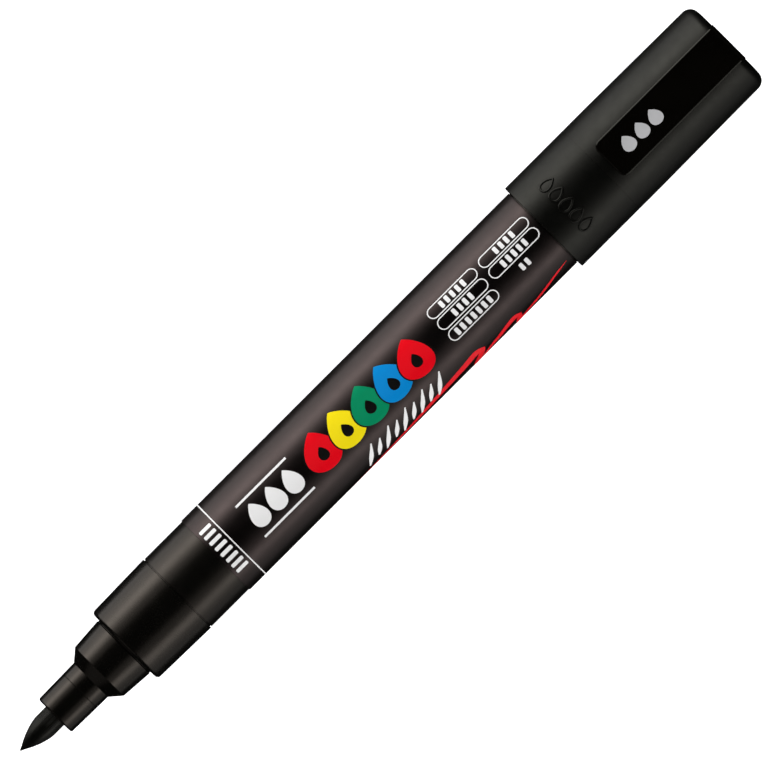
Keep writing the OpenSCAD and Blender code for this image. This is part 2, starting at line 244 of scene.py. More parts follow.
def new_material(name):
    """A new material with nodes, its node tree and its shader."""
    material = bpy.data.materials.new(name)
    material.use_nodes = True
    tree = material.node_tree
    shader = tree.nodes["Principled BSDF"]
    return material, tree, shader


def pattern_space(tree, stretch):
    """Object coordinates in millimetres, stretched along each axis."""
    place = tree.nodes.new("ShaderNodeTexCoord")
    mapping = tree.nodes.new("ShaderNodeMapping")
    mapping.inputs["Scale"].default_value = [s / MM for s in stretch]
    tree.links.new(place.outputs["Object"], mapping.inputs["Vector"])
    return mapping.outputs["Vector"]


def speckle(tree, space, size, detail=3.0, roughness=0.55):
    """Noise whose grains are about that many millimetres across."""
    noise = tree.nodes.new("ShaderNodeTexNoise")
    noise.inputs["Scale"].default_value = 1.0 / size
    noise.inputs["Detail"].default_value = detail
    noise.inputs["Roughness"].default_value = roughness
    tree.links.new(space, noise.inputs["Vector"])
    return noise.outputs["Fac"]


def spread(tree, value, to_low, to_high, from_low=0.3, from_high=0.7):
    """A value from the noise brought into a new range."""
    ranged = tree.nodes.new("ShaderNodeMapRange")
    ranged.inputs["From Min"].default_value = from_low
    ranged.inputs["From Max"].default_value = from_high
    ranged.inputs["To Min"].default_value = to_low
    ranged.inputs["To Max"].default_value = to_high
    tree.links.new(value, ranged.inputs["Value"])
    return ranged.outputs["Result"]


def two_tone(tree, value, dark, light):
    """A colour that drifts between two tones with a value."""
    ramp = tree.nodes.new("ShaderNodeValToRGB")
    ramp.color_ramp.elements[0].position = 0.3
    ramp.color_ramp.elements[0].color = (*dark, 1)
    ramp.color_ramp.elements[1].position = 0.7
    ramp.color_ramp.elements[1].color = (*light, 1)
    tree.links.new(value, ramp.inputs["Fac"])
    return ramp.outputs["Color"]


def raise_grain(tree, shader, height, depth, strength=1.0):
    """Bump of that depth in millimetres from a height value."""
    bump = tree.nodes.new("ShaderNodeBump")
    bump.inputs["Strength"].default_value = strength
    bump.inputs["Distance"].default_value = depth * MM
    tree.links.new(height, bump.inputs["Height"])
    tree.links.new(bump.outputs["Normal"], shader.inputs["Normal"])


def scaled(tone, factor):
    """A colour made lighter or darker."""
    return tuple(min(1.0, channel * factor) for channel in tone)


def moulded_plastic(name, tone, rough=0.4, grain=0.25, depth=0.004, specular=0.5,
                    tint=(1.0, 1.0, 1.0), stretch=(1, 1, 1), drift=0.25, metallic=0.0):
    """Moulded plastic: fine grain, handling marks in the gloss and a slow drift in the tone."""
    material, tree, shader = new_material(name)
    space = pattern_space(tree, stretch)
    fine = speckle(tree, space, grain)
    slow = speckle(tree, space, 6.0, 2.0)
    smears = speckle(tree, space, 1.7, 5.0, 0.65)
    tree.links.new(two_tone(tree, slow, scaled(tone, 1 - drift), scaled(tone, 1 + drift)),
                   shader.inputs["Base Color"])
    tree.links.new(spread(tree, smears, rough * 0.9, rough * 1.12), shader.inputs["Roughness"])
    raise_grain(tree, shader, fine, depth)
    shader.inputs["Specular IOR Level"].default_value = specular
    shader.inputs["Specular Tint"].default_value = (*tint, 1)
    shader.inputs["Metallic"].default_value = metallic
    return material


def put_on(obj, material):
    """Gives every slot of the object one material."""
    obj.data.materials.clear()
    obj.data.materials.append(material)


# ---- Mesh helpers

def fillet(corners, steps=6):
    """A closed outline from (x, y, rounding) corners, each rounded by its own radius."""
    outline = []
    count = len(corners)
    for i, (x, y, rounding) in enumerate(corners):
        here = Vector((x, y))
        back = Vector(corners[i - 1][:2]) - here
        ahead = Vector(corners[(i + 1) % count][:2]) - here
        if rounding <= 0 or back.length == 0 or ahead.length == 0:
            outline.append((x, y))
            continue
        half = back.angle(ahead) / 2
        reach = min(rounding / math.tan(half), back.length * 0.49, ahead.length * 0.49)
        true_radius = reach * math.tan(half)
        centre = here + (back.normalized() + ahead.normalized()).normalized() * (
            true_radius / math.sin(half))
        start = here + back.normalized() * reach - centre
        end = here + ahead.normalized() * reach - centre
        sweep = start.angle_signed(end)
        for step in range(steps + 1):
            a = -sweep * step / steps
            outline.append((centre.x + start.x * math.cos(a) - start.y * math.sin(a),
                            centre.y + start.x * math.sin(a) + start.y * math.cos(a)))
    return outline


def finish_mesh(name, bm, smooth_angle=32):
    """Turns a bmesh into an object with outward normals and smooth shading up to an angle."""
    bmesh.ops.recalc_face_normals(bm, faces=bm.faces)
    mesh = bpy.data.meshes.new(name)
    bm.to_mesh(mesh)
    bm.free()
    mesh.polygons.foreach_set("use_smooth", [True] * len(mesh.polygons))
    mesh.set_sharp_from_angle(angle=math.radians(smooth_angle))
    obj = bpy.data.objects.new(name, mesh)
    bpy.context.scene.collection.objects.link(obj)
    return obj


def turned(name, outline, steps=FINE, swell=None):
    """A closed solid turned about the pen's axis from (station, radius) points."""
    bm = bmesh.new()
    rings = []
    for x, radius in outline:
        if radius < 1e-9:
            rings.append([bm.verts.new(on_pen(x, 0, 0))] * steps)
            continue
        ring = []
        for step in range(steps):
            turn = 2 * math.pi * step / steps
            extra = swell(x, radius, turn) if swell else 0
            ring.append(bm.verts.new(on_pen(x, radius + extra, turn)))
        rings.append(ring)
    for i, ring in enumerate(rings):
        following = rings[(i + 1) % len(rings)]
        for step in range(steps):
            nxt = (step + 1) % steps
            corners = [ring[step], ring[nxt], following[nxt], following[step]]
            distinct = list(dict.fromkeys(corners))
            if len(distinct) > 2:
                bm.faces.new(distinct)
    return finish_mesh(name, bm)


def wrapped(name, loops, base, low_layer, high_layer, cut=0.35 * MM):
    """A thin solid in the shape of flat (x, arc) outlines, wrapped round the pen at a radius."""
    bm = bmesh.new()
    for loop_group in loops:
        points = [Vector((x, s, 0)) for loop in loop_group for x, s in loop]
        verts = [bm.verts.new(p) for p in points]
        for a, b, c in tessellate_polygon([[Vector((x, s, 0)) for x, s in loop]
                                           for loop in loop_group]):
            try:
                bm.faces.new((verts[a], verts[b], verts[c]))
            except ValueError:
                continue
    arcs = [v.co.y for v in bm.verts]
    s = math.ceil(min(arcs) / cut) * cut
    while s < max(arcs):
        bmesh.ops.bisect_plane(bm, geom=bm.verts[:] + bm.edges[:] + bm.faces[:], dist=1e-8,
                               plane_co=(0, s, 0), plane_no=(0, 1, 0))
        s += cut
    lifted = bmesh.ops.extrude_face_region(bm, geom=bm.faces[:], use_keep_orig=True)
    for item in lifted["geom"]:
        if isinstance(item, bmesh.types.BMVert):
            item.co.z = high_layer - low_layer
    for v in bm.verts:
        v.co = on_pen(v.co.x, base + low_layer + v.co.z, v.co.y / base)
    return finish_mesh(name, bm)


def bead(bm, outline, base, width, height, steps=8):
    """A raised half-round line along a closed flat outline, wrapped round the pen."""
    count = len(outline)
    loops = []
    for i, (x, s) in enumerate(outline):
        tangent = Vector(outline[(i + 1) % count]) - Vector(outline[i - 1])
        normal = Vector((tangent.y, -tangent.x)).normalized()
        ring = []
        for k in range(steps + 1):
            a = math.pi * (k / steps - 0.5)
            across = math.sin(a) * width / 2
            radius = base + height * math.cos(a)
            ring.append(bm.verts.new(on_pen(x + normal.x * across, radius,
                                            (s + normal.y * across) / base)))
        for side in (1, -1):
            across = side * width / 2
            ring.append(bm.verts.new(on_pen(x + normal.x * across, base - 0.03 * MM,
                                            (s + normal.y * across) / base)))
        loops.append(ring)
    for i, near in enumerate(loops):
        far = loops[(i + 1) % count]
        for k in range(len(near)):
            nxt = (k + 1) % len(near)
            bm.faces.new((near[k], near[nxt], far[nxt], far[k]))


def ride_on(obj, body, slot_name, material, *nodes):
    """Puts a finish on a piece and ties it to a body; slot_name is not used."""
    put_on(obj, material)
    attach(obj, body)
    if nodes:
        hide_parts(*nodes)
    return obj


def settings():
    """The scene's marker settings."""
    return bpy.context.scene.marker


def finish(name):
    """One of the finish colours."""
    return tuple(getattr(settings().finish, name))


class MarkerOperator:
    """What every building step shares."""
    bl_options = {"REGISTER", "UNDO"}


# ---- Tip unit

def brush_radius_at(x, tip):
    """The brush's radius at a station."""
    reach = max(0, x - BRUSH_POINT)
    if reach >= tip.brush_taper:
        return BRUSH_RADIUS
    round_end = math.sqrt(2 * tip.point_round * reach) if reach < 8 * tip.point_round else 0
    return max(round_end, BRUSH_RADIUS * (1 - (1 - reach / tip.brush_taper) ** tip.brush_fullness))


class OBJECT_OT_marker_brush(MarkerOperator, bpy.types.Operator):
    """Build the brush: a fluted bundle of bristles that closes into a point, with loose ends"""
    bl_idname = "object.marker_brush"
    bl_label = "Brush"

    def execute(self, context):
        tip = settings().tip
        rng = random.Random(7)
        flutes = [rng.uniform(0.35, 1.0) for _ in range(tip.flute_count)]
        bundle_end = high("brush_nib").x
        drop = 0.008 * MM
        bundle = [(BRUSH_POINT, 0)]
        for step in range(1, 41):
            x = BRUSH_POINT + tip.brush_taper * (step / 40) ** 1.7
            bundle.append((x, brush_radius_at(x, tip) - drop * min(1, step / 8)))
        bundle += [(MOUTH, BRUSH_RADIUS - drop), (bundle_end, BRUSH_RADIUS - drop), (bundle_end, 0)]

        def flute(x, radius, turn):
            """Shallow valleys between neighbouring bristles."""
            place = (turn / (2 * math.pi) + 0.002 * math.sin((x - BRUSH_POINT) * 900)) * tip.flute_count
            depth = flutes[int(place) % tip.flute_count] * min(1.0, radius / (0.9 * MM))
            return -0.004 * MM * depth * math.cos(math.pi * (place % 1)) ** 4

        wet = moulded_plastic("wet_brush", finish("brush_black"), rough=0.34,
                              grain=0.10, depth=0.001, stretch=(0.10, 1, 1), specular=0.22,
                              tint=(1.0, 0.97, 0.86))
        ride_on(turned("brush_bundle", bundle, tip.flute_count * 6, flute), "tip", "brush_black", wet,
                "brush_nib")
        bm = bmesh.new()
        for i in range(tip.filament_count):
            turn = 2 * math.pi * (i + 0.4 * rng.uniform(-1, 1)) / tip.filament_count
            end = BRUSH_POINT + (0.05 + 3.2 * rng.random() ** 1.5) * MM
            self.bristle(bm, tip, turn, end, rng)
        ride_on(finish_mesh("brush_bristles", bm, 60), "tip", "brush_black", wet)
        return {"FINISHED"}

    @staticmethod
    def bristle(bm, tip, turn, end, rng):
        """One bristle that follows the brush's surface and tapers to its own end."""
        root = MOUTH + 1.5 * MM
        sides = 6
        rings = 18
        half = tip.filament_width / 2
        lean = rng.uniform(-0.06, 0.06)
        rise = rng.uniform(-0.040, -0.026) * MM
        flick = rng.uniform(0.0, 0.022) * MM
        loops = []
        for step in range(rings + 1):
            t = step / rings
            x = root + (end - root) * (1 - (1 - t) ** 1.25)
            thick = half * min(1.0, 0.16 + (x - end) / (2.2 * MM))
            radius = max(0.0, brush_radius_at(x, tip) + rise + flick * t ** 3)
            here = turn + lean * t
            centre = on_pen(x, radius, here)
            out = Vector((0, -math.sin(here), math.cos(here)))
            side = Vector((0, -math.cos(here), -math.sin(here)))
            ring = []
            for k in range(sides):
                a = 2 * math.pi * k / sides
                ring.append(bm.verts.new(centre + (out * math.cos(a) + side * math.sin(a)) * thick))
            loops.append(ring)
        for near, far in zip(loops, loops[1:]):
            for k in range(sides):
                bm.faces.new((near[k], near[(k + 1) % sides], far[(k + 1) % sides], far[k]))
        bm.faces.new(loops[0])
        bm.faces.new(loops[-1])


class OBJECT_OT_marker_sleeve(MarkerOperator, bpy.types.Operator):
    """Turn the tip sleeve with its cone, collar, stop flange and tail"""
    bl_idname = "object.marker_sleeve"
    bl_label = "Tip sleeve"

    def execute(self, context):
        tip = settings().tip
        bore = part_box("brush_ferrule")
        bore_radius = (bore[1].y - bore[0].y) / 2 + 0.02 * MM
        mouth_bore = BRUSH_RADIUS + 0.08 * MM
        cone = MOUTH + tip.sleeve_length
        collar = cone + tip.cone_length
        flange = FRONT + 1.3 * MM
        flange_end = flange + 1.2 * MM
        flange_radius = half_width("tip_sleeve")
        tail_radius = bore_radius + 0.6 * MM
        line = MOUTH + 5.1 * MM
        half_groove = 0.15 * MM
        groove = FRONT - half_groove - 0.01 * MM
        line_radius = tip.sleeve_radius + tip.sleeve_draft * 0.73
        core = tip.collar_front - 0.7 * MM
        corners = [
            (MOUTH, mouth_bore, 0.12 * MM), (MOUTH, tip.sleeve_radius, tip.mouth_round),
            (line - 0.05 * MM, line_radius, 0), (line, line_radius - 0.035 * MM, 0),
            (line + 0.05 * MM, line_radius, 0),
            (cone, tip.sleeve_radius + tip.sleeve_draft, 0.10 * MM),
            (collar, tip.collar_front, 0.08 * MM), (groove - half_groove, tip.collar_rear, 0.02 * MM),
            (groove, tip.collar_rear - 0.13 * MM, 0.02 * MM),
            (groove + half_groove, tip.collar_rear, 0.02 * MM),
            (flange, tip.collar_rear, 0.08 * MM), (flange, flange_radius, 0.1 * MM),
            (flange_end, flange_radius, 0.1 * MM), (flange_end, core, 0.05 * MM),
            (collar + 0.7 * MM, core, 0.2 * MM), (collar + 0.7 * MM, tail_radius, 0.2 * MM),
            (TAIL, tail_radius, 0.1 * MM), (TAIL, bore_radius, 0.05 * MM),
            (MOUTH + 2.1 * MM, bore_radius, 0), (MOUTH + 2.1 * MM, mouth_bore, 0),
        ]
        satin = moulded_plastic("satin_tip", finish("satin_black"), rough=0.25, grain=0.3,
                                depth=0.0025, specular=0.47, tint=SATIN_TINT)
        ride_on(turned("sleeve", fillet(corners)), "tip", "satin_black", satin, "tip_sleeve")
        return {"FINISHED"}


# ---- Barrel

class OBJECT_OT_marker_front(MarkerOperator, bpy.types.Operator):
    """Turn the front section, its lip and its rounded leading edge"""
    bl_idname = "object.marker_front"
    bl_label = "Front section"

    def execute(self, context):
        barrel = settings().barrel
        bore = 6.0 * MM
        lip = bore - 0.55 * MM
        lip_end = FRONT + 1.25 * MM
        draft = 0.23 * MM
        corners = [
            (FRONT, lip, 0.08 * MM), (FRONT, FRONT_RADIUS - draft, barrel.front_round),
            (SEAM, FRONT_RADIUS, barrel.seam_chamfer), (SEAM, bore, 0.04 * MM),
            (lip_end, bore, 0.1 * MM), (lip_end, lip, 0.08 * MM),
        ]
        satin = moulded_plastic("satin_front", finish("satin_black"), rough=0.26, grain=0.3,
                                depth=0.0025, tint=SATIN_TINT)
        ride_on(turned("front_collar", fillet(corners)), "barrel", "satin_black", satin,
                "front_section")
        return {"FINISHED"}


class OBJECT_OT_marker_barrel(MarkerOperator, bpy.types.Operator):
    """Turn the barrel with its neck, paint chamber and the ribs that grip the cap"""
    bl_idname = "object.marker_barrel"
    bl_label = "Barrel"

    def execute(self, context):
        barrel = settings().barrel
        radius = barrel.barrel_radius
        neck = 5.98 * MM
        neck_bore = neck - 0.83 * MM
        groove = 0.2 * MM
        chamber = radius - barrel.barrel_wall
        chamber_start = SEAM + 0.95 * MM
        wall_end = high("barrel").x
        rib_start = wall_end - 9 * MM
        corners = [
            (NECK, neck_bore, 0.05 * MM), (NECK, neck, 0.12 * MM),
            (SEAM, neck, 0), (SEAM, radius - groove, 0.02 * MM),
            (SEAM + groove, radius - groove, 0.02 * MM), (SEAM + groove, radius, barrel.seam_chamfer),
            (rib_start - 0.3 * MM, radius, 0), (rib_start, radius, 0),
            (rib_start + 0.35 * MM, radius, 0), (wall_end - 0.35 * MM, radius, 0),
            (wall_end, radius, 0.06 * MM), (wall_end, chamber, 0.04 * MM),
            (chamber_start, chamber, 0.3 * MM), (chamber_start, neck_bore, 0.1 * MM),
        ]
        rib_rise = FILM_RADIUS - radius

        def rib(x, r, turn):
            """Six low ribs near the rear end."""
            if r < radius - 1e-6 or x < rib_start + 0.1 * MM or x > wall_end - 0.2 * MM:
                return 0
            off = abs((turn / (2 * math.pi) * 6 + 0.5) % 1 - 0.5) * 2 * math.pi * radius / 6
            return rib_rise * max(0.0, min(1.0, (0.7 * MM - off) / (0.12 * MM) + 0.5))

        satin = moulded_plastic("satin_barrel", finish("satin_black"), rough=0.3, grain=0.32,
                                depth=0.003, tint=SATIN_TINT)
        ride_on(turned("barrel_tube", fillet(corners), 360, rib), "barrel", "satin_black", satin,
                "barrel")
        plug = REAR - 1.2 * MM
        plug_front = plug - 5 * MM
        plug_rim = radius - 0.12 * MM
        spigot = chamber - 0.02 * MM
        hollow = spigot - 1 * MM
        dish = REAR - 0.45 * MM
        plug_corners = [
            (plug, 0, 0), (plug, hollow, 0.3 * MM), (plug_front, hollow, 0.1 * MM),
            (plug_front, spigot, 0.25 * MM), (plug, spigot, 0), (plug, plug_rim, 0.05 * MM),
            (REAR, plug_rim, 0.25 * MM), (REAR, 3.2 * MM, 0.15 * MM),
            (dish, 2.9 * MM, 0.2 * MM), (dish, 0, 0),
        ]
        ride_on(turned("end_plug", fillet(plug_corners), 128), "barrel", "satin_black", satin,
                "rear_plug")
        return {"FINISHED"}


class OBJECT_OT_marker_film(MarkerOperator, bpy.types.Operator):
    """Wrap the label film round the barrel, with its overlap on the underside"""
    bl_idname = "object.marker_film"
    bl_label = "Label film"

    def execute(self, context):
        inner = FILM_RADIUS - settings().barrel.film_thickness
        corners = [
            (FILM_START, inner, 0), (FILM_START, FILM_RADIUS, 0.05 * MM),
            (FILM_END, FILM_RADIUS, 0.05 * MM), (FILM_END, inner, 0),
        ]
        film = moulded_plastic("label_film_black", finish("film_black"), rough=0.34,
                               grain=0.2, depth=0.002, specular=0.61, tint=FILM_TINT)
        ride_on(turned("film_wrap", fillet(corners, 3), 240), "barrel", "film_black", film,
                "label_film")
        under = math.pi * FILM_RADIUS
        lap = 1.6 * MM
        start = FILM_START + 0.02 * MM
        end = FILM_END - 0.02 * MM
        overlap = [(start, under - lap), (end, under - lap), (end, under + lap), (start, under + lap)]
        ride_on(wrapped("film_overlap", [[overlap]], FILM_RADIUS, -0.02 * MM, 0.035 * MM), "barrel",
                "film_black", film)
        return {"FINISHED"}


# ---- Printing

def box_outline(x0, x1, s0, s1, rounding=0.0, steps=6):
    """A rectangle on the film with rounded corners."""
    return fillet([(x0, s0, rounding), (x1, s0, rounding), (x1, s1, rounding), (x0, s1, rounding)],
                  steps)


def drop_outline(x, s, height, width, tilt, grow=0.0, points=64):
    """A drop whose point is towards -s: full and round below, drawn out above."""
    angles = [2 * math.pi * i / points for i in range(points)]
    across = [math.sin(t) * math.sin(t / 2) ** 0.8 for t in angles]
    widest = max(across)
    outline = [Vector((a / widest * width / 2, -math.cos(t) * height / 2))
               for a, t in zip(across, angles)]
    grown = []
    for i, p in enumerate(outline):
        tangent = outline[(i + 1) % points] - outline[i - 1]
        normal = Vector((tangent.y, -tangent.x)).normalized() if tangent.length else Vector((0, -1))
        grown.append(p + normal * grow)
    c = math.cos(tilt)
    d = math.sin(tilt)
    return [(x + p.x * c - p.y * d, s + p.x * d + p.y * c) for p in grown]


def stroke_outline(path, widths, steps=14):
    """A brush stroke along a smooth path, with its own width at each point."""
    line = []
    size = []
    for i in range(len(path) - 1):
        p0 = Vector(path[max(0, i - 1)])
        p1 = Vector(path[i])
        p2 = Vector(path[i + 1])
        p3 = Vector(path[min(len(path) - 1, i + 2)])
        for step in range(steps):
            t = step / steps
            line.append(0.5 * ((2 * p1) + (p2 - p0) * t + (2 * p0 - 5 * p1 + 4 * p2 - p3) * t ** 2
                               + (3 * p1 - p0 - 3 * p2 + p3) * t ** 3))
            size.append(widths[i] + (widths[i + 1] - widths[i]) * (3 * t * t - 2 * t ** 3))
    line.append(Vector(path[-1]))
    size.append(widths[-1])
    left = []
    right = []
    for i, p in enumerate(line):
        tangent = line[min(i + 1, len(line) - 1)] - line[max(i - 1, 0)]
        normal = Vector((-tangent.y, tangent.x)).normalized()
        left.append(tuple(p + normal * size[i] / 2))
        right.append(tuple(p - normal * size[i] / 2))
    return left + right[::-1]


def ink(name, tone):
    """Screen-printed ink: nearly even, with a faint pull in a gloss that takes the ink's own colour."""
    strongest = max(tone)
    gloss = tuple(max(0.15, channel / strongest) for channel in tone)
    return moulded_plastic(name, tone, rough=0.34, grain=0.18, depth=0.0015, drift=0.03,
                           tint=gloss, stretch=(0.6, 1, 1))


def printed(name, groups, top, slot_name, material):
    """Ink in the shape of flat outlines on the film, up to that height above it."""
    return ride_on(wrapped(name, groups, FILM_RADIUS, -INK_ROOT, top), "barrel", slot_name, material)


class OBJECT_OT_marker_rules(MarkerOperator, bpy.types.Operator):
    """Print the ring, the two rules, the drops between them and the small ticks"""
    bl_idname = "object.marker_rules"
    bl_label = "White marks"

    def execute(self, context):
        sizes = settings().print
        white = ink("white_ink", finish("print_white"))
        lift = sizes.ink_thickness
        ring = along(43.0)
        half = 0.095 * MM
        outline = [(ring - half, FILM_RADIUS - INK_ROOT), (ring - half, FILM_RADIUS + lift),
                   (ring + half, FILM_RADIUS + lift), (ring + half, FILM_RADIUS - INK_ROOT)]
        ride_on(turned("ink_ring", outline, 240), "barrel", "print_white", white)
        wide = sizes.rule_width / 2
        groups = []
        for middle in (-2.88 * MM, 3.27 * MM):
            groups.append([box_outline(along(46.7), along(56.8), middle - wide, middle + wide)])
        for station in (48.35, 51.75, 55.15):
            groups.append([drop_outline(along(station), 0.15 * MM, 4.1 * MM, 2.9 * MM, 0.0)])
        printed("ink_rules", groups, lift, "print_white", white)
        ticks = []
        for i in range(8):
            s = (i - 3.5) * 1.14 * MM + 0.1 * MM
            ticks.append([box_outline(along(40.3), along(42.45), s - 0.3 * MM, s + 0.3 * MM,
                                      0.18 * MM)])
        printed("ink_ticks", ticks, lift, "print_white", white)
        rng = random.Random(3)
        small = []
        for start, end, rows in ((46.7, 57.0, 5), (59.0, 68.4, 7), (70.5, 88.0, 7), (90.5, 104.5, 4)):
            for row in range(rows):
                s = -(10.95 + 1.15 * row) * MM
                x = start
                while x < end - 0.8:
                    dash = min(rng.uniform(0.7, 2.4), end - x)
                    small.append([box_outline(along(x), along(x + dash), s - 0.27 * MM, s + 0.27 * MM,
                                              0.15 * MM, 3)])
                    x += dash + 0.45
        printed("ink_small_print", small, lift, "print_white", white)
        return {"FINISHED"}


class OBJECT_OT_marker_dabs(MarkerOperator, bpy.types.Operator):
    """Print five overlapping drops of colour, each with a black edge and heart"""
    bl_idname = "object.marker_dabs"
    bl_label = "Colour dabs"

    def execute(self, context):
        sizes = settings().print
        lift = sizes.ink_thickness
        wide = 5.6 * MM
        black = ink("black_ink", (0.0028, 0.0026, 0.0024))
        dabs = (
            ("red_first", "print_red", 61.1, 0.16),
            ("yellow", "print_yellow", 65.9, -0.10),
            ("green", "print_green", 70.6, 0.14),
            ("blue", "print_blue", 75.3, -0.12),
            ("red_last", "print_red", 80.0, 0.16),
        )
        for i, (name, slot_name, station, tilt) in enumerate(dabs):
            layer = lift * (1 + 0.8 * i)
            x = along(station)
            shape = (x, 0.0, sizes.dab_height, wide, tilt)
            printed(f"ink_edge_{name}", [[drop_outline(*shape, grow=0.22 * MM)]], layer,
                    "print_black", black)
            printed(f"ink_dab_{name}", [[drop_outline(*shape)]], layer + lift * 0.5, slot_name,
                    ink(f"{name}_ink", finish(slot_name)))
            heart = (x, 0.55 * MM, sizes.dab_height * 0.34, wide * 0.30, tilt)
            printed(f"ink_heart_{name}", [[drop_outline(*heart)]], layer + lift * 0.75,
                    "print_black", black)
        return {"FINISHED"}


class OBJECT_OT_marker_strokes(MarkerOperator, bpy.types.Operator):
    """Print the slanted white strokes and the long red brush stroke on the flank"""
    bl_idname = "object.marker_strokes"
    bl_label = "Brush strokes"

    def execute(self, context):
        lift = settings().print.ink_thickness
        strokes = (
            (((60, 11.0), (66, 9.9), (72, 9.15), (78, 8.3), (84, 7.55), (86.6, 7.15), (88.0, 7.65)),
             (0.15, 0.5, 0.8, 1.1, 1.3, 1.25, 0.8)),
            (((88.1, 7.3), (87.4, 8.3), (86.3, 9.6), (85.6, 11.2)), (0.7, 1.2, 1.3, 0.9)),
            (((85.9, 11.0), (88.9, 9.2), (90.8, 8.6), (92.8, 7.95), (94.3, 7.7), (95.25, 8.2)),
             (0.3, 0.9, 1.0, 1.1, 1.1, 0.7)),
            (((95.3, 7.9), (94.8, 9.2), (94.3, 11.0)), (0.6, 1.1, 0.9)),
            (((94.3, 11.2), (95.6, 9.7), (98.7, 8.7), (100.8, 8.0), (102.8, 7.3), (105.4, 6.65)),
             (0.5, 0.75, 0.7, 0.6, 0.42, 0.06)),
        )
        red = ink("red_stroke_ink", finish("print_red"))
        for i, (path, widths) in enumerate(strokes):
            stroke = stroke_outline([(along(x), s * MM) for x, s in path], [w * MM for w in widths])
            printed(f"ink_stroke_{i + 1}", [[stroke]], lift * (0.9 + 0.2 * i), "print_red", red)
        dashes = []
        for i in range(9):
            x = 65.7 + 1.78 * i
            s = 6.75 - 0.07 * i
            reach = 1.95 if i % 2 == 0 else 1.45
            dashes.append([stroke_outline(
                [(along(x - 0.55 * reach), (s + reach) * MM), (along(x - 0.1), (s + 0.2) * MM),
                 (along(x + 0.62 * reach), (s - reach) * MM)], [0.30 * MM, 0.78 * MM, 0.22 * MM])])
        printed("ink_dashes", dashes, lift * 2.1, "print_white",
                ink("white_dash_ink", finish("print_white")))
        return {"FINISHED"}


class OBJECT_OT_marker_pills(MarkerOperator, bpy.types.Operator):
    """Print the five pill outlines with their bars"""
    bl_idname = "object.marker_pills"
    bl_label = "Pill outlines"

    def execute(self, context):
        sizes = settings().print
        lift = sizes.ink_thickness
        half = sizes.pill_height / 2
        line = sizes.pill_line
        pills = (
            (85.6, 95.2, -2.6, 5), (85.6, 95.2, -0.4, 4), (85.6, 95.2, 1.87, 7),
            (96.0, 105.6, -2.6, 4), (96.0, 105.6, -0.4, 5),
        )
        groups = []
        bars = []
        for start, end, middle_mm, count in pills:
            middle = middle_mm * MM
            outer = box_outline(along(start), along(end), middle - half, middle + half, half, 12)
            inner = box_outline(along(start) + line, along(end) - line, middle - half + line,
                                middle + half - line, half - line, 12)
            groups.append([outer, inner])
            bars += self.bar_row((start + end) / 2, middle_mm, count)
        bars += self.bar_row(100.8, 1.87, 2)
        white = ink("pill_ink", finish("print_white"))
        printed("ink_pills", groups, lift, "print_white", white)
        printed("ink_pill_bars", bars, lift, "print_white", white)
        return {"FINISHED"}

    @staticmethod
    def bar_row(centre, middle, count):
        """A row of short upright bars."""
        row = []
        for k in range(count):
            x = along(centre + (k - (count - 1) / 2) * 1.08)
            row.append([box_outline(x - 0.31 * MM, x + 0.31 * MM, (middle - 0.6) * MM,
                                    (middle + 0.6) * MM, 0.18 * MM)])
        return row


# ---- Cap and clip

class OBJECT_OT_marker_cap(MarkerOperator, bpy.types.Operator):
    """Turn the cap shell and its sealing liner, with low raised drops near the mouth"""
    bl_idname = "object.marker_cap"
    bl_label = "Cap"

    def execute(self, context):
        cap = settings().cap
        line = along(118.2)
        line_half = 0.06 * MM
        ceiling = CROWN - 1.2 * MM
        bore_end = REAR + 0.05 * MM
        corners = [
            (CAP_MOUTH, cap.cap_bore, 0.12 * MM), (CAP_MOUTH, CAP_RADIUS, 0.10 * MM),
            (line - line_half, CAP_RADIUS, 0), (line, CAP_RADIUS - 0.02 * MM, 0),
            (line + line_half, CAP_RADIUS, 0),
            (CAP_MOUTH + cap.cap_straight, CAP_RADIUS, 0), (CROWN, cap.crown_radius, cap.crown_round),
            (CROWN, 0, 0), (ceiling, 0, 0), (ceiling, cap.cap_inner, 0.3 * MM),
            (bore_end, cap.cap_inner, 0.06 * MM), (bore_end, cap.cap_bore, 0.05 * MM),
        ]
        black = moulded_plastic("cap_plastic", finish("cap_black"), rough=0.41,
                                grain=0.3, depth=0.004, specular=0.335, tint=CAP_TINT)
        ride_on(turned("cap_body", fillet(corners, 10), 240), "cap", "cap_black", black, "cap_shell")
        bm = bmesh.new()
        for i in range(5):
            s = (i - 2) * 2.08 * MM
            bead(bm, drop_outline(along(111.1), s, 2.4 * MM, 1.5 * MM, math.pi / 2, points=40),
                 CAP_RADIUS, cap.mark_width, cap.mark_height)
        ride_on(finish_mesh("cap_marks", bm, 50), "cap", "cap_black", black)
        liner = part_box("inner_cap")
        bore = 5.34 * MM
        outer = bore + 0.6 * MM
        start = liner[0].x
        end = liner[1].x
        rim = end - 1.2 * MM
        rim_radius = cap.cap_inner - 0.02 * MM
        roof = end - 0.6 * MM
        liner_corners = [
            (start, bore, 0.2 * MM), (start, outer, 0.1 * MM), (rim, outer, 0.15 * MM),
            (rim, rim_radius, 0.1 * MM), (end, rim_radius, 0), (end, 0, 0), (roof, 0, 0),
            (roof, bore, 0.4 * MM),
        ]
        white = moulded_plastic("liner_plastic", (0.62, 0.62, 0.58), rough=0.42, grain=0.3, drift=0.06)
        ride_on(turned("cap_liner", fillet(liner_corners)), "cap", "white_plastic", white, "inner_cap")
        return {"FINISHED"}


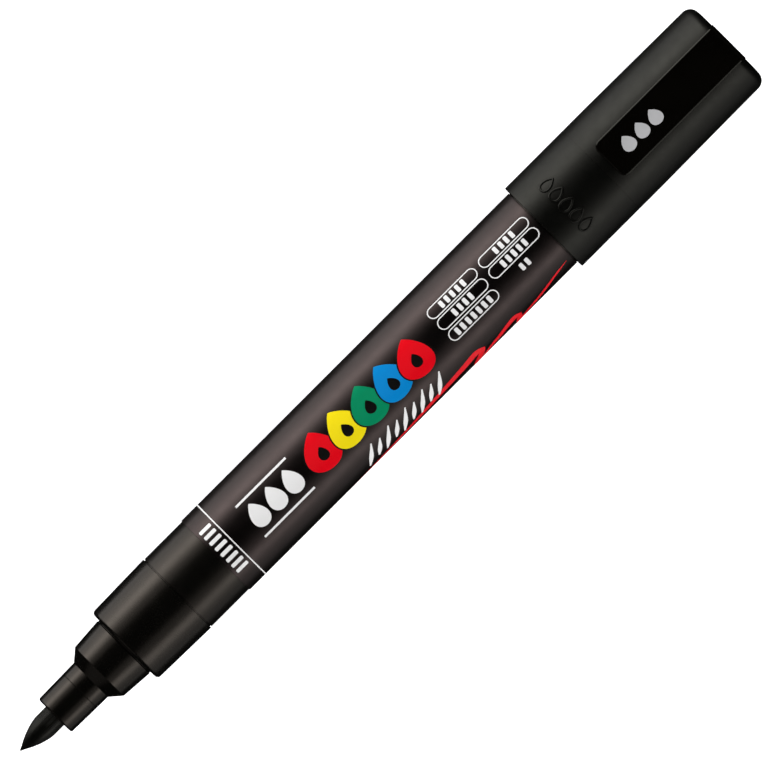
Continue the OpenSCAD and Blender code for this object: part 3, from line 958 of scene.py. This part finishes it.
class OBJECT_OT_marker_clip(MarkerOperator, bpy.types.Operator):
    """Loft the pocket clip from its root on the crown to its beaded free end"""
    bl_idname = "object.marker_clip"
    bl_label = "Pocket clip"

    def execute(self, context):
        cap = settings().cap
        crown_start = CLIP_END - cap.root_round
        tongue_end = HINGE - 1.0 * MM
        fine = 0.1 * MM
        straight = [CLIP_TIP + cap.clip_corner + fine * k for k in range(2, 20)]
        straight += [straight[-1] + (tongue_end - straight[-1]) * k / 20 for k in range(1, 21)]
        straight += [tongue_end + fine * k for k in range(1, 11)]
        straight += [HINGE + (crown_start - HINGE) * k / 6 for k in range(1, 7)]
        straight += [crown_start + cap.root_round * math.sin(math.pi / 2 * k / 9) for k in range(1, 10)]
        rounding = [math.pi / 2 * k / 8 for k in range(9)]
        levels = self.levels(cap)
        bm = bmesh.new()
        sides = {1: [], -1: []}
        for side in sides:
            for a in rounding:
                sides[side].append([self.corner_point(bm, cap, side, a, level) for level in levels])
            for x in straight:
                sides[side].append([self.edge_point(bm, cap, side, x, level) for level in levels])
        for rows in sides.values():
            for near, far in zip(rows, rows[1:]):
                for k in range(len(levels) - 1):
                    bm.faces.new((near[k], near[k + 1], far[k + 1], far[k]))
        left = sides[1]
        right = sides[-1]
        for i in range(len(left) - 1):
            for k in (0, -1):
                bm.faces.new((left[i][k], left[i + 1][k], right[i + 1][k], right[i][k]))
        for i in (0, -1):
            for k in range(len(levels) - 1):
                bm.faces.new((left[i][k], left[i][k + 1], right[i][k + 1], right[i][k]))
        clip = finish_mesh("pocket_clip", bm, 24)
        polished = moulded_plastic("clip_plastic", finish("clip_black"), rough=0.19,
                                   grain=0.5, depth=0.001, specular=0.45, tint=CAP_TINT)
        put_on(clip, polished)
        level = AXIS_HEIGHT + CLIP_OUT
        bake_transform(clip)
        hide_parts("clip_root", "clip_tongue")
        self.silver_mark(level)
        return {"FINISHED"}

    @staticmethod
    def levels(cap):
        """The clip's edge from below to above: (inset, share of the height, drop from the face)."""
        foot = cap.foot_width
        inset = foot + cap.rim_width
        fall = cap.rim_width * cap.rim_slope
        edge = [(0.12 * MM, 0.0, None), (0.03 * MM, 0.04, None), (0.0, 0.12, None),
                (0.45 * foot, 0.5, None), (0.9 * foot, None, fall + 0.12 * MM),
                (foot, None, fall + 0.035 * MM)]
        for k in range(5):
            t = (k + 0.35) / 5
            edge.append((foot + cap.rim_width * t, None, fall * (1 - t)))
        edge += [(inset, None, 0.008 * MM), (inset + 0.03 * MM, None, 0.0),
                 (inset + 0.08 * MM, None, 0.0)]
        return edge

    @staticmethod
    def heights(cap, x):
        """The clip's underside and face at a station, from the pen's axis."""
        inner = CLIP_OUT - cap.clip_thickness
        floor_level = low("clip_root").z - AXIS_HEIGHT
        crown_start = CLIP_END - cap.root_round
        top = CLIP_OUT
        if x > crown_start:
            reach = min(cap.root_round, x - crown_start)
            top = CLIP_OUT - cap.root_round + math.sqrt(cap.root_round ** 2 - reach ** 2)
        under = inner
        bead_x = CLIP_TIP + 2 * cap.clip_corner
        bead_radius = 0.5 * MM
        if abs(x - bead_x) < bead_radius:
            under = inner - math.sqrt(bead_radius ** 2 - (x - bead_x) ** 2)
        fillet_length = 0.8 * MM
        fillet_start = HINGE - fillet_length
        if x > fillet_start:
            t = min(1.0, (x - fillet_start) / fillet_length)
            under = inner - (inner - floor_level) * (1 - math.sqrt(1 - t * t))
        return under, top

    @classmethod
    def lift(cls, cap, x, level):
        """The height of one level of the edge at a station."""
        under, top = cls.heights(cap, x)
        if level[1] is not None:
            return AXIS_HEIGHT + under + (top - under) * level[1]
        return AXIS_HEIGHT + max(under + (top - under) * 0.2, top - level[2])

    @classmethod
    def corner_point(cls, bm, cap, side, angle, level):
        """A point on the rounded corner of the free end."""
        radius = cap.clip_corner - level[0]
        x = CLIP_TIP + cap.clip_corner - radius * math.cos(angle)
        y = CLIP_WIDTH / 2 - cap.clip_corner + radius * math.sin(angle)
        return bm.verts.new((x, side * y, cls.lift(cap, x, level)))

    @classmethod
    def edge_point(cls, bm, cap, side, x, level):
        """A point on the clip's long edge."""
        return bm.verts.new((x, side * (CLIP_WIDTH / 2 - level[0]), cls.lift(cap, x, level)))

    @staticmethod
    def silver_mark(level):
        """Three small drops in silver foil on the clip's face."""
        bm = bmesh.new()
        for station in (123.55, 126.25, 128.95):
            outline = drop_outline(along(station), 0.0, 2.6 * MM, 2.2 * MM, 0.0)
            base = [bm.verts.new((x, -s, level - 0.01 * MM)) for x, s in outline]
            top = [bm.verts.new((x, -s, level + 0.015 * MM)) for x, s in outline]
            bm.faces.new(base)
            bm.faces.new(top)
            for k in range(len(base)):
                nxt = (k + 1) % len(base)
                bm.faces.new((base[k], base[nxt], top[nxt], top[k]))
        silver = moulded_plastic("silver_foil", (0.50, 0.50, 0.51), rough=0.35, grain=0.2,
                                 metallic=0.15, drift=0.05)
        ride_on(finish_mesh("clip_mark", bm), "clip", "print_silver", silver)


# ---- Working parts

class OBJECT_OT_marker_works(MarkerOperator, bpy.types.Operator):
    """Give the parts inside the barrel and tip their own finishes"""
    bl_idname = "object.marker_works"
    bl_label = "Working parts"

    def execute(self, context):
        steel = moulded_plastic("spring_wire", (0.55, 0.55, 0.57), rough=0.28, grain=0.1,
                                metallic=1.0, drift=0.08)
        ball = moulded_plastic("ball_bearing", (0.62, 0.62, 0.64), rough=0.12, grain=0.8,
                               depth=0.001, metallic=1.0, drift=0.04)
        white = moulded_plastic("valve_plastic", (0.72, 0.72, 0.69), rough=0.42, grain=0.3, drift=0.05)
        rubber = moulded_plastic("seal_rubber_black", (0.02, 0.02, 0.02), rough=0.62, grain=0.15,
                                 depth=0.008)
        fibre = moulded_plastic("wick_fibre_felt", (0.70, 0.67, 0.60), rough=0.85, grain=0.09,
                                depth=0.03, stretch=(0.1, 1, 1), drift=0.12)
        finishes = {
            "brush_ferrule": white, "feed_wick": fibre, "feed_plug": white, "tail_seal": rubber,
            "neck_gasket": rubber, "valve_body": white, "valve_seat": rubber, "valve_rod": white,
            "valve_spring": steel, "spring_retainer": white, "mixing_ball": ball,
        }
        for node, material in finishes.items():
            put_on(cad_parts[node], material)
        return {"FINISHED"}


# ---- Stage

def softbox(name, place, aim, size, power, glossy=True):
    """A soft rectangular light that points at a place."""
    light = bpy.data.lights.new(name, "AREA")
    light.shape = "RECTANGLE"
    light.size, light.size_y = size
    light.energy = power
    obj = bpy.data.objects.new(name, light)
    obj.location = place
    obj.rotation_mode = "QUATERNION"
    obj.rotation_quaternion = (Vector(aim) - Vector(place)).to_track_quat("-Z", "Y")
    obj.visible_glossy = glossy
    bpy.context.scene.collection.objects.link(obj)
    return obj


# Brightness of each strip of a softbox wall, and the angles from straight up that it spans
LEFT_STRIPS = ((34, 50, 0.45), (50, 58, 1.4), (58, 66, 2.8), (66, 74, 3.9), (74, 82, 2.8),
               (82, 98, 1.8), (98, 120, 1.15))
RIGHT_STRIPS = ((34, 58, 0.3), (58, 66, 1.45), (66, 74, 2.1), (74, 82, 1.4), (82, 98, 0.55),
                (98, 120, 0.3))
WALL_DISTANCE = 1.0
WALL_LENGTH = 1.3


def light_wall(name, side, strips, brightness):
    """A long upright softbox beside the pen, brightest low down and fading upwards."""
    for start, end, strength in strips:
        upper = AXIS_HEIGHT + WALL_DISTANCE / math.tan(math.radians(start))
        lower = AXIS_HEIGHT + WALL_DISTANCE / math.tan(math.radians(end))
        middle = (upper + lower) / 2
        area = WALL_LENGTH * (upper - lower)
        softbox(f"softbox_{name}_{start}", (0, side * WALL_DISTANCE, middle), (0, 0, middle),
                (WALL_LENGTH, upper - lower), brightness * strength * math.pi * area)


class SCENE_OT_marker_stage(MarkerOperator, bpy.types.Operator):
    """Lay the floor and set the lights, the world and the camera"""
    bl_idname = "scene.marker_stage"
    bl_label = "Stage"

    def execute(self, context):
        stage = settings().stage
        scene = bpy.context.scene
        bm = bmesh.new()
        bmesh.ops.create_grid(bm, x_segments=8, y_segments=8, size=3.0)
        for v in bm.verts:
            v.co.z = -0.03 * MM
        floor = finish_mesh("studio_floor", bm)
        paper, tree, shader = new_material("floor_paper")
        space = pattern_space(tree, (1, 1, 1))
        fibres = speckle(tree, space, 0.8)
        tree.links.new(two_tone(tree, fibres, scaled(stage.floor_colour, 0.99), stage.floor_colour),
                       shader.inputs["Base Color"])
        shader.inputs["Roughness"].default_value = 0.9
        shader.inputs["Emission Color"].default_value = (1, 1, 1, 1)
        shader.inputs["Emission Strength"].default_value = 1.0
        put_on(floor, paper)
        floor.visible_glossy = False
        floor.visible_shadow = False
        light_wall("left", 1, LEFT_STRIPS, stage.left_light)
        light_wall("right", -1, RIGHT_STRIPS, stage.right_light)
        wide, tall = 1.6, 0.9
        for name, side, strength in (("front", -1, stage.front_light), ("rear", 1, stage.rear_light)):
            softbox(f"softbox_{name}", (side * 1.4, 0, 0.5), (0, 0, 0.5), (wide, tall),
                    strength * math.pi * wide * tall)
        softbox("softbox_top", (0, 0, 1.6), (0, 0, 0), (1.6, 1.6), stage.top_power, glossy=False)
        world = bpy.data.worlds.new("studio_air")
        world.use_nodes = True
        nodes = world.node_tree.nodes
        background = nodes["Background"]
        path = nodes.new("ShaderNodeLightPath")
        tone = nodes.new("ShaderNodeMix")
        tone.data_type = "RGBA"
        tone.inputs["A"].default_value = (0.006, 0.006, 0.006, 1)
        tone.inputs["B"].default_value = (1, 1, 1, 1)
        world.node_tree.links.new(path.outputs["Is Camera Ray"], tone.inputs["Factor"])
        world.node_tree.links.new(tone.outputs["Result"], background.inputs["Color"])
        scene.world = world
        scene.view_settings.view_transform = "Standard"
        lens = bpy.data.cameras.new("studio_camera")
        lens.sensor_width = SENSOR
        lens.lens = stage.lens
        view_width = 110.88 * MM
        camera = bpy.data.objects.new("studio_camera", lens)
        camera.location = (2.24 * MM, -0.02 * MM, AXIS_HEIGHT + view_width * lens.lens / SENSOR)
        camera.rotation_euler = (0, 0, math.radians(-45))
        lens.clip_start = 0.01
        lens.clip_end = 10
        scene.collection.objects.link(camera)
        scene.camera = camera
        return {"FINISHED"}


class VIEW3D_PT_marker(bpy.types.Panel):
    """The marker's building steps"""
    bl_idname = "VIEW3D_PT_marker"
    bl_label = "Brush Marker"
    bl_space_type = "VIEW_3D"
    bl_region_type = "UI"
    bl_category = "Marker"

    def draw(self, context):
        for step in STEPS:
            self.layout.operator(step.bl_idname)


STEPS = (
    SCENE_OT_marker_stage,
    OBJECT_OT_marker_brush,
    OBJECT_OT_marker_sleeve,
    OBJECT_OT_marker_front,
    OBJECT_OT_marker_barrel,
    OBJECT_OT_marker_film,
    OBJECT_OT_marker_rules,
    OBJECT_OT_marker_dabs,
    OBJECT_OT_marker_strokes,
    OBJECT_OT_marker_pills,
    OBJECT_OT_marker_cap,
    OBJECT_OT_marker_clip,
    OBJECT_OT_marker_works,
)
CLASSES = (
    MarkerTipSettings,
    MarkerBarrelSettings,
    MarkerPrintSettings,
    MarkerCapSettings,
    MarkerFinishSettings,
    MarkerStageSettings,
    MarkerSettings,
    *STEPS,
    VIEW3D_PT_marker,
)


def register():
    """Adds the settings, the steps and the panel."""
    for cls in CLASSES:
        bpy.utils.register_class(cls)
    bpy.types.Scene.marker = PointerProperty(name="Marker", description="Marker settings",
                                             type=MarkerSettings)


def unregister():
    """Takes them away again."""
    del bpy.types.Scene.marker
    for cls in reversed(CLASSES):
        bpy.utils.unregister_class(cls)


def main():
    """Registers the settings and runs every step in order."""
    register()
    for step in STEPS:
        family, action = step.bl_idname.split(".")
        getattr(getattr(bpy.ops, family), action)()


if __name__ == "__main__":
    main()
